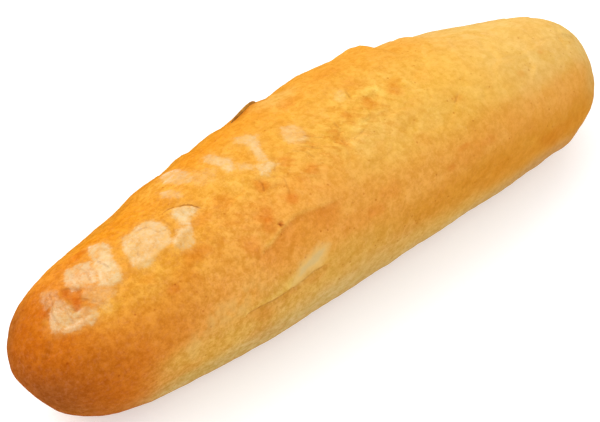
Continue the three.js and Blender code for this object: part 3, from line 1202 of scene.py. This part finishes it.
@dataclass(frozen=True)
class Flake:
    """A thin shard of scorched crust that stands up from the back of the crown.

    An oval section, tall and thin, is carried along a short line on the skin. Its height is the root
    of t (1 - t^8) for a share t of the way along, and it leans back a little.
    """

    form: LoafForm
    offset: float
    start: Place = (-15.8, 50.0)
    end: Place = (-2.4, 47.5)
    height: float = 2.45
    least_height: float = 0.15
    drop_power: int = 8
    thickness: float = 0.6
    lean: float = 0.05
    sunk: float = 0.5
    steps: int = 32
    sides: int = 16

    def build(self) -> bpy.types.Object:
        """Makes the closed shard.

        Returns:
            The flake object, at the origin, in metres.
        """
        share = np.linspace(0.0, 1.0, self.steps)
        x = self.start[0] + (self.end[0] - self.start[0]) * share
        angle = self.start[1] + (self.end[1] - self.start[1]) * share
        root = self.form.skin(2.0 * x / self.form.length, angle)
        out = np.stack([np.zeros_like(x), np.cos(np.radians(angle)), np.sin(np.radians(angle))], -1)
        back = np.stack([np.zeros_like(x), out[:, 2], -out[:, 1]], -1)
        up = out + self.lean * back
        tall = self.height * np.sqrt(share) * np.sqrt(np.maximum(1.0 - share ** self.drop_power, 0.0))
        tall = np.maximum(tall, self.least_height)
        turns = np.linspace(0.0, 2.0 * np.pi, self.sides, endpoint=False)
        rise = (tall / 2.0)[:, None] * (1.0 + np.sin(turns)) - self.sunk
        thick = self.thickness / 2.0 * np.minimum(tall / self.height * 2.0, 1.0)
        points = (root[:, None] + up[:, None] * rise[..., None]
                  + back[:, None] * (thick[:, None] * np.cos(turns))[..., None])
        middle = points[[0, -1]].mean(1)
        points = np.concatenate([points.reshape(-1, 3), middle])
        points[:, 1] += self.offset
        return make_piece("scorched_flake", points,
                          closed_tube(self.steps, self.sides, reverse=True))


# ---------------------------------------------------------------------------------------------------
# Finishes
# ---------------------------------------------------------------------------------------------------

@dataclass(frozen=True)
class Noise:
    """Lumps of a size in millimetres, with octaves of finer lumps over them."""

    size: float
    detail: float = 2.0
    rough: float = 0.5


@dataclass(frozen=True)
class Ramp:
    """A range of values, and the two values that its ends are carried to."""

    low: float
    high: float
    first: float = 0.0
    last: float = 1.0


class Graph:
    """A material's nodes, with short calls to add and join them."""

    def __init__(self, name: str) -> None:
        """Starts a material that holds only the shader and its output."""
        self.material = bpy.data.materials.new(name)
        self.material.use_nodes = True
        self.nodes = self.material.node_tree.nodes
        self.links = self.material.node_tree.links
        self.shader = next(n for n in self.nodes if n.type == "BSDF_PRINCIPLED")

    def add(self, kind: str, inputs: dict | None = None, **settings) -> bpy.types.Node:
        """Adds a node.

        Args:
            kind: the node's type, without its ShaderNode prefix.
            inputs: a value or an output socket for each input, by name or number.
            settings: the node's own properties.

        Returns:
            The new node.
        """
        node = self.nodes.new("ShaderNode" + kind)
        for key, value in settings.items():
            setattr(node, key, value)
        for key, value in (inputs or {}).items():
            self.feed(node.inputs[key], value)
        return node

    def feed(self, socket: bpy.types.NodeSocket, value) -> None:
        """Joins an output to a socket, or sets the socket's own value."""
        if isinstance(value, bpy.types.NodeSocket):
            self.links.new(value, socket)
        else:
            socket.default_value = value

    def attribute(self, name: str, output: str = "Fac") -> bpy.types.NodeSocket:
        """A value stored on the mesh's points."""
        return self.add("Attribute", attribute_name=name).outputs[output]

    def place(self, stretch: tuple[float, float, float] = (1.0, 1.0, 1.0), slant: float = 0.0,
              ) -> bpy.types.NodeSocket:
        """Object coordinates in metres.

        Args:
            stretch: a factor for each axis; a pattern grows longer where it is below one.
            slant: degrees that the axes are turned about Z first.

        Returns:
            The coordinates.
        """
        place = self.add("TexCoord").outputs["Object"]
        turned = self.add("Mapping", {"Vector": place, "Rotation": (0.0, 0.0, np.radians(slant))})
        return self.add("Mapping", {"Vector": turned.outputs[0], "Scale": stretch}).outputs[0]

    def noise(self, noise: Noise, place: bpy.types.NodeSocket | None = None) -> bpy.types.NodeSocket:
        """Noise from 0 to 1."""
        node = self.add("TexNoise", {"Vector": place or self.place(), "Detail": noise.detail,
                                     "Scale": 1.0 / (noise.size * MM), "Roughness": noise.rough})
        return node.outputs["Fac"]

    def sway(self, noise: Noise, reach: float) -> bpy.types.NodeSocket:
        """Noise about zero, (noise - 1/2) times its reach."""
        return self.math("MULTIPLY", self.math("SUBTRACT", self.noise(noise), 0.5), reach)

    def cells(self, size: float, ragged: float) -> bpy.types.NodeSocket:
        """A random colour for each cell of a pattern.

        Args:
            size: of a cell, in millimetres.
            ragged: how far noise pushes the borders about, in millimetres.

        Returns:
            The colour.
        """
        place = self.place()
        push = self.add("TexNoise", {"Vector": place, "Scale": 2.0 / (size * MM)})
        push = self.add("VectorMath", {0: push.outputs["Color"], 1: (0.5, 0.5, 0.5)},
                        operation="SUBTRACT")
        push = self.add("VectorMath", {0: push.outputs[0], "Scale": 2.0 * ragged * MM},
                        operation="SCALE")
        place = self.add("VectorMath", {0: place, 1: push.outputs[0]}).outputs[0]
        return self.add("TexVoronoi", {"Vector": place, "Scale": 1.0 / (size * MM)}).outputs["Color"]

    def math(self, operation: str, *values) -> bpy.types.NodeSocket:
        """The result of a Math node."""
        node = self.add("Math", dict(enumerate(values)), operation=operation)
        return node.outputs[0]

    def times(self, first, *others) -> bpy.types.NodeSocket:
        """The product of two or more values, from left to right."""
        for other in others:
            first = self.math("MULTIPLY", first, other)
        return first

    def span(self, value, ramp: Ramp) -> bpy.types.NodeSocket:
        """A value carried smoothly from a ramp's range to its two ends."""
        node = self.add("MapRange", {"Value": value, "From Min": ramp.low, "From Max": ramp.high,
                                     "To Min": ramp.first, "To Max": ramp.last},
                        interpolation_type="SMOOTHSTEP")
        return node.outputs["Result"]

    def mix(self, share, first, second, blend: str = "MIX") -> bpy.types.NodeSocket:
        """Two colours mixed.

        Args:
            share: how much of the second colour there is, 0 to 1.
            first: the colour at a share of zero.
            second: the colour that is blended in.
            blend: the way of blending.

        Returns:
            The mixed colour.
        """
        node = self.add("Mix", data_type="RGBA", blend_type=blend)
        self.feed(node.inputs["Factor"], share)
        colours = [socket for socket in node.inputs if socket.type == "RGBA"]
        for socket, value in zip(colours, (first, second)):
            self.feed(socket, value)
        return next(socket for socket in node.outputs if socket.type == "RGBA")


@dataclass(frozen=True)
class CrustFinish:
    """Baked crust: tone from the mesh, mottle, pores and wrinkles with painted shade, cracks with painted
    dark lines of shade, and glazed islands with a painted reflection.
    """

    # mottle of the tone
    grain: Noise = Noise(2.4, 5.0, 0.8)
    grain_ramp: Ramp = Ramp(0.34, 0.66)
    dark_grain: Colour = (0.84, 0.75, 0.54, 1.0)
    light_grain: Colour = (1.12, 1.18, 1.52, 1.0)
    dusting: Noise = Noise(1.5, 4.0, 0.7)
    dusting_ramp: Ramp = Ramp(0.46, 0.70, 0.0, 0.12)
    dust: Colour = (0.66, 0.27, 0.13, 1.0)
    plate_size: float = 6.0
    plate_ragged: float = 1.6
    dark_plate: Colour = (0.98, 0.95, 0.84, 1.0)
    light_plate: Colour = (1.02, 1.04, 1.16, 1.0)
    # wrinkles, pores and cracks, with painted shade in their folds, pores and grooves
    folds: Noise = Noise(1.9, 3.0, 0.6)
    folds_ramp: Ramp = Ramp(0.54, 0.38)
    folds_stretch: tuple[float, float, float] = (0.35, 1.0, 1.0)
    folds_slant: float = 41.0
    # painted shade in the folds of the wrinkles
    fold_shade: Colour = (0.88, 0.69, 0.48, 1.0)
    fold_share: float = 0.6
    pore_spacing: float = 2.2
    pore_ramp: Ramp = Ramp(0.10, 0.24, 1.0, 0.0)
    pore_picked: Ramp = Ramp(0.55, 1.0)
    # painted shade in the pores
    pore_shade: Colour = (0.74, 0.55, 0.42, 1.0)
    crack_sway: Noise = Noise(1.6)
    crack_reach: float = 0.5
    crack_ramp: Ramp = Ramp(0.12, 0.62, 1.0, 0.0)
    crack_breaks: Noise = Noise(2.2)
    crack_breaks_ramp: Ramp = Ramp(0.36, 0.56, 0.35, 1.0)
    # painted shade: the dark colour of the lines in creases and cracks
    groove_shade: Colour = (0.24, 0.07, 0.012, 1.0)
    # glazed islands, whose pale colour is partly a painted reflection
    crumble: Noise = Noise(1.6, 4.0, 0.7)
    crumble_reach: float = 3.4
    island_sway: Noise = Noise(5.0)
    island_reach: float = 2.0
    island_ramp: Ramp = Ramp(-0.9, 0.9)
    film: Noise = Noise(3.0, 5.0, 0.75)
    film_ramp: Ramp = Ramp(0.36, 0.62, 0.45, 1.0)
    specks: Noise = Noise(1.1)
    specks_ramp: Ramp = Ramp(0.34, 0.44, 0.62, 1.0)
    worn: Ramp = Ramp(0.0, 1.0, 1.0, 0.5)
    halo_sway: Noise = Noise(3.0, 3.0)
    halo_reach: float = 4.0
    halo_ramp: Ramp = Ramp(-3.5, 0.5, 0.0, 0.18)
    halo: Colour = (0.66, 0.42, 0.13, 1.0)
    # painted reflection: the pale colour laid over the glazed islands
    painted_reflection: Colour = (0.605, 0.49, 0.25, 1.0)
    painted_reflection_share: float = 0.61
    # floury patches and the pale leaf
    flour_clumps: Noise = Noise(4.0)
    flour_ramp: Ramp = Ramp(0.3, 0.6)
    flour: Colour = (0.66, 0.42, 0.13, 1.0)
    leaf_sway: Noise = Noise(3.0, 3.0)
    leaf_reach: float = 3.0
    leaf_ramp: Ramp = Ramp(-2.0, 2.2, 0.0, 0.78)
    leaf: Colour = (0.70, 0.45, 0.15, 1.0)
    core_ramp: Ramp = Ramp(1.2, 3.0)
    leaf_core: Colour = (0.60, 0.44, 0.19, 1.0)
    # shine
    dull: float = 0.50
    glazed: float = 0.30
    roughness_mottle: Noise = Noise(2.0)
    roughness_spread: float = 0.06
    specular: float = 0.0
    coat_roughness: float = 0.22
    coat_index: float = 1.5
    # bump, with heights in millimetres
    fine_grain: Noise = Noise(0.8, 3.0, 0.6)
    fine_grain_height: float = 0.05
    coarse_grain: Noise = Noise(2.4)
    coarse_grain_height: float = 0.18
    pore_depth: float = 0.05
    fold_depth: float = 0.12
    crack_depth: float = 0.15
    bump_strength: float = 0.8

    def make(self) -> bpy.types.Material:
        """Builds the material."""
        graph = Graph("crust")
        wrinkle = self.wrinkles(graph)
        glaze = self.glaze_mask(graph, wrinkle)
        crack = self.crack_mask(graph)
        pores = self.pores(graph)
        shader = graph.shader.inputs
        graph.feed(shader["Base Color"], self.colour(graph, glaze, crack, wrinkle, pores))
        rough = graph.math("ADD", graph.times(glaze, self.glazed - self.dull), self.dull)
        mottle = graph.times(graph.noise(self.roughness_mottle), self.roughness_spread)
        graph.feed(shader["Roughness"], graph.math("ADD", rough, mottle))
        graph.feed(shader["Coat Weight"], graph.times(glaze, graph.math("SUBTRACT", 1.0, crack)))
        shader["Coat Roughness"].default_value = self.coat_roughness
        shader["Coat IOR"].default_value = self.coat_index
        shader["Specular IOR Level"].default_value = self.specular
        graph.feed(shader["Normal"], self.bump(graph, crack, wrinkle, pores))
        return graph.material

    def glaze_mask(self, graph: Graph, wrinkle: bpy.types.NodeSocket) -> bpy.types.NodeSocket:
        """Where the crust is glazed: the stored islands, crumbled at the edges and worn in the folds."""
        sway = graph.math("ADD", graph.sway(self.crumble, self.crumble_reach),
                          graph.sway(self.island_sway, self.island_reach))
        edge = graph.span(graph.math("ADD", graph.attribute("glaze"), sway), self.island_ramp)
        film = graph.times(graph.span(graph.noise(self.film), self.film_ramp),
                           graph.span(wrinkle, self.worn))
        specks = graph.span(graph.noise(self.specks), self.specks_ramp)
        return graph.times(graph.attribute("shine"), edge, film, specks)

    def crack_mask(self, graph: Graph) -> bpy.types.NodeSocket:
        """Thin painted dark lines of shade, where the mesh says that the crust is creased or cracked."""
        wander = graph.sway(self.crack_sway, self.crack_reach)
        gap = graph.math("ABSOLUTE", graph.math("ADD", graph.attribute("crack"), wander))
        broken = graph.span(graph.noise(self.crack_breaks), self.crack_breaks_ramp)
        dark = graph.times(graph.attribute("crack_dark"), broken)
        return graph.times(graph.span(gap, self.crack_ramp), dark)

    def wrinkles(self, graph: Graph) -> bpy.types.NodeSocket:
        """Fine slanting wrinkles, 0 to 1: the dark side of noise stretched along one direction."""
        place = graph.place(self.folds_stretch, self.folds_slant)
        folds = graph.span(graph.noise(self.folds, place), self.folds_ramp)
        return graph.times(folds, graph.attribute("wrinkled"))

    def pores(self, graph: Graph) -> bpy.types.NodeSocket:
        """Small round pores in some cells of a Voronoi pattern."""
        cells = graph.add("TexVoronoi", {"Vector": graph.place(), "Scale": 1.0 / (self.pore_spacing * MM)})
        dot = graph.span(cells.outputs["Distance"], self.pore_ramp)
        return graph.times(dot, graph.span(cells.outputs["Color"], self.pore_picked))

    def colour(self, graph: Graph, glaze: bpy.types.NodeSocket, crack: bpy.types.NodeSocket,
               wrinkle: bpy.types.NodeSocket, pores: bpy.types.NodeSocket) -> bpy.types.NodeSocket:
        """Tone, mottled at three sizes, then painted shade in folds and pores, the glazed islands' painted
        reflection, flour, the pale leaf and painted dark lines of shade in the grooves.

        Args:
            graph: the material's nodes.
            glaze: where the crust is glazed.
            crack: where the dark lines are.
            wrinkle: where the wrinkles are.
            pores: where the pores are.

        Returns:
            The crust's colour.
        """
        coarse = graph.attribute("coarse")
        grain = graph.mix(graph.span(graph.noise(self.grain), self.grain_ramp),
                          self.dark_grain, self.light_grain)
        colour = graph.mix(coarse, graph.attribute("tone_and_painted_light", "Color"), grain, "MULTIPLY")
        dust = graph.span(graph.noise(self.dusting), self.dusting_ramp)
        colour = graph.mix(graph.times(dust, coarse), colour, self.dust)
        plates = graph.mix(graph.cells(self.plate_size, self.plate_ragged),
                           self.dark_plate, self.light_plate)
        colour = graph.mix(1.0, colour, plates, "MULTIPLY")
        # painted shade in the folds of the wrinkles
        colour = graph.mix(graph.times(wrinkle, self.fold_share), colour, self.fold_shade, "MULTIPLY")
        # painted shade in the pores
        colour = graph.mix(pores, colour, self.pore_shade, "MULTIPLY")
        reach = graph.math("ADD", graph.attribute("glaze"),
                           graph.sway(self.halo_sway, self.halo_reach))
        halo = graph.times(graph.span(reach, self.halo_ramp), graph.attribute("shine"))
        colour = graph.mix(halo, colour, self.halo)
        # painted reflection on the glazed islands
        colour = graph.mix(graph.times(glaze, self.painted_reflection_share), colour, self.painted_reflection)
        clumps = graph.span(graph.noise(self.flour_clumps), self.flour_ramp)
        colour = graph.mix(graph.times(graph.attribute("flour"), clumps), colour, self.flour)
        inner = graph.math("ADD", graph.attribute("leaf"), graph.sway(self.leaf_sway, self.leaf_reach))
        core = graph.mix(graph.span(inner, self.core_ramp), self.leaf, self.leaf_core)
        colour = graph.mix(graph.span(inner, self.leaf_ramp), colour, core)
        # painted dark lines of shade in the grooves of creases and cracks
        return graph.mix(crack, colour, self.groove_shade)

    def bump(self, graph: Graph, crack: bpy.types.NodeSocket, wrinkle: bpy.types.NodeSocket,
             pores: bpy.types.NodeSocket) -> bpy.types.NodeSocket:
        """Grain, pores, wrinkles and cracks added up as a height in metres.

        Args:
            graph: the material's nodes.
            crack: where the dark lines are.
            wrinkle: where the wrinkles are.
            pores: where the pores are.

        Returns:
            The bumped normal.
        """
        layers = ((graph.noise(self.fine_grain), self.fine_grain_height),
                  (graph.noise(self.coarse_grain), self.coarse_grain_height),
                  (pores, -self.pore_depth), (wrinkle, -self.fold_depth), (crack, -self.crack_depth))
        height = 0.0
        for layer, size in layers:
            height = graph.math("ADD", height, graph.times(layer, size * MM))
        bump = graph.add("Bump", {"Height": height, "Distance": 1.0, "Strength": self.bump_strength})
        return bump.outputs["Normal"]


@dataclass(frozen=True)
class ScorchFinish:
    """Thin crust baked dark brown, lighter in places."""

    dark: Colour = (0.28, 0.115, 0.010, 1.0)
    light: Colour = (0.46, 0.21, 0.020, 1.0)
    mottle: Noise = Noise(2.0, 3.0)
    mottle_ramp: Ramp = Ramp(0.35, 0.65)
    roughness: float = 0.7
    specular: float = 0.2
    grain: Noise = Noise(0.7, 3.0)
    grain_height: float = 0.05

    def make(self) -> bpy.types.Material:
        """Builds the material."""
        graph = Graph("scorched_crust")
        shader = graph.shader.inputs
        mottle = graph.span(graph.noise(self.mottle), self.mottle_ramp)
        graph.feed(shader["Base Color"], graph.mix(mottle, self.dark, self.light))
        shader["Roughness"].default_value = self.roughness
        shader["Specular IOR Level"].default_value = self.specular
        bump = graph.add("Bump", {"Height": graph.noise(self.grain), "Strength": 1.0,
                                  "Distance": self.grain_height * MM})
        graph.feed(shader["Normal"], bump.outputs["Normal"])
        return graph.material


# ---------------------------------------------------------------------------------------------------
# Studio
# ---------------------------------------------------------------------------------------------------

def view_matrix(azimuth: float, elevation: float, distance: float, target: Vector) -> Matrix:
    """Placement of something that looks at a target.

    Args:
        azimuth: degrees round it, 0 looking along +Y and positive turning towards +X.
        elevation: degrees above the horizon.
        distance: metres from the target.
        target: the point looked at.

    Returns:
        The matrix whose -Z axis points at the target and whose X axis is level.
    """
    turned, raised = np.radians(azimuth), np.radians(elevation)
    back = Vector((np.sin(turned) * np.cos(raised), -np.cos(turned) * np.cos(raised), np.sin(raised)))
    right = Vector((np.cos(turned), np.sin(turned), 0.0))
    matrix = Matrix((right, back.cross(right), back)).transposed().to_4x4()
    matrix.translation = target + back * distance
    return matrix


@dataclass(frozen=True)
class SoftLight:
    """A rectangular soft light that looks at the loaf."""

    name: str
    azimuth: float
    elevation: float
    distance: float
    width: float
    height: float
    radiance: float

    def build(self, target: Vector) -> bpy.types.Object:
        """Makes the light, whose power is its radiance times pi and its area."""
        lamp = bpy.data.lights.new(self.name, "AREA")
        lamp.shape = "RECTANGLE"
        lamp.size, lamp.size_y = self.width, self.height
        lamp.energy = self.radiance * np.pi * self.width * self.height
        light = bpy.data.objects.new(self.name, lamp)
        light.matrix_world = view_matrix(self.azimuth, self.elevation, self.distance, target)
        bpy.context.scene.collection.objects.link(light)
        return light


@dataclass(frozen=True)
class Studio:
    """Camera, plain pale floor and soft light all round, with a broad window light behind."""

    middle: Vector
    azimuth: float = -41.28
    elevation: float = 44.0
    distance: float = 0.75
    lens: float = 134.15
    aim: tuple[float, float, float] = (-0.00905, -0.00545, 0.028)
    nearest: float = 0.01
    surround: float = 0.70
    floor_tone: float = 0.72
    floor_roughness: float = 0.9
    floor_glow: float = 0.40
    floor_side: float = 6.0
    lights: tuple[SoftLight, ...] = (
        SoftLight("right_window", 155.0, 52.0, 1.6, 2.7, 1.0, 2.0),
        SoftLight("left_window", 235.0, 52.0, 1.6, 1.9, 1.0, 2.0),
        SoftLight("front_fill", -20.0, 50.0, 2.2, 2.6, 1.6, 1.0),
    )

    def build(self) -> bpy.types.Object:
        """Makes everything round the loaf.

        Returns:
            The floor, which is not part of the object.
        """
        scene = bpy.context.scene
        scene.view_settings.view_transform = "Standard"
        self.make_camera(scene)
        for light in self.lights:
            light.build(Vector((0.0, 0.0, self.middle.z)))
        world = bpy.data.worlds.new("surround")
        world.use_nodes = True
        background = world.node_tree.nodes["Background"]
        background.inputs["Color"].default_value = WHITE
        background.inputs["Strength"].default_value = self.surround
        scene.world = world
        return self.make_floor()

    def make_camera(self, scene: bpy.types.Scene) -> None:
        """Sets up the camera that looks down on the loaf from its near end."""
        lens = bpy.data.cameras.new("camera")
        lens.lens = self.lens
        lens.clip_start = self.nearest
        camera = bpy.data.objects.new("camera", lens)
        camera.matrix_world = view_matrix(self.azimuth, self.elevation, self.distance,
                                          Vector(self.aim))
        scene.collection.objects.link(camera)
        scene.camera = camera

    def make_floor(self) -> bpy.types.Object:
        """Makes a square pale floor at the loaf's foot."""
        half = self.floor_side / 2.0
        mesh = bpy.data.meshes.new("floor")
        corners = [(-half, -half, 0.0), (half, -half, 0.0), (half, half, 0.0), (-half, half, 0.0)]
        mesh.from_pydata(corners, [], [(0, 1, 2, 3)])
        floor = bpy.data.objects.new("floor", mesh)
        bpy.context.scene.collection.objects.link(floor)
        graph = Graph("floor_paper")
        shader = graph.shader.inputs
        tone = self.floor_tone
        shader["Base Color"].default_value = (tone, tone, tone, 1.0)
        shader["Roughness"].default_value = self.floor_roughness
        shader["Specular IOR Level"].default_value = 0.0
        shader["Emission Color"].default_value = WHITE
        shader["Emission Strength"].default_value = self.floor_glow
        mesh.materials.append(graph.material)
        return floor


def place_on_loaf(piece: bpy.types.Object, material: bpy.types.Material) -> None:
    """Dresses a piece and makes it ride with the loaf.

    Args:
        piece: the piece to dress.
        material: its finish.
    """
    piece.data.materials.append(material)
    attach(piece, "root")
    LOG.info("%s: %d faces", piece.name, len(piece.data.polygons))


def main() -> None:
    """Builds the crust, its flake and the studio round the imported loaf."""
    logging.basicConfig(level=logging.INFO, format="%(name)s: %(message)s")
    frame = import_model()
    LOG.info("nodes in the frame: %s", ", ".join(sorted(frame["nodes"])))
    low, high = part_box("loaf")

    form = LoafForm(length=(high.x - low.x) / MM)
    skin = Crust(form)
    crust = skin.build()
    place_on_loaf(crust, CrustFinish().make())
    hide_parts("loaf")
    flake = Flake(form, skin.offset()).build()
    place_on_loaf(flake, ScorchFinish().make())

    Studio(middle=(low + high) / 2.0).build()


if __name__ == "__main__":
    main()
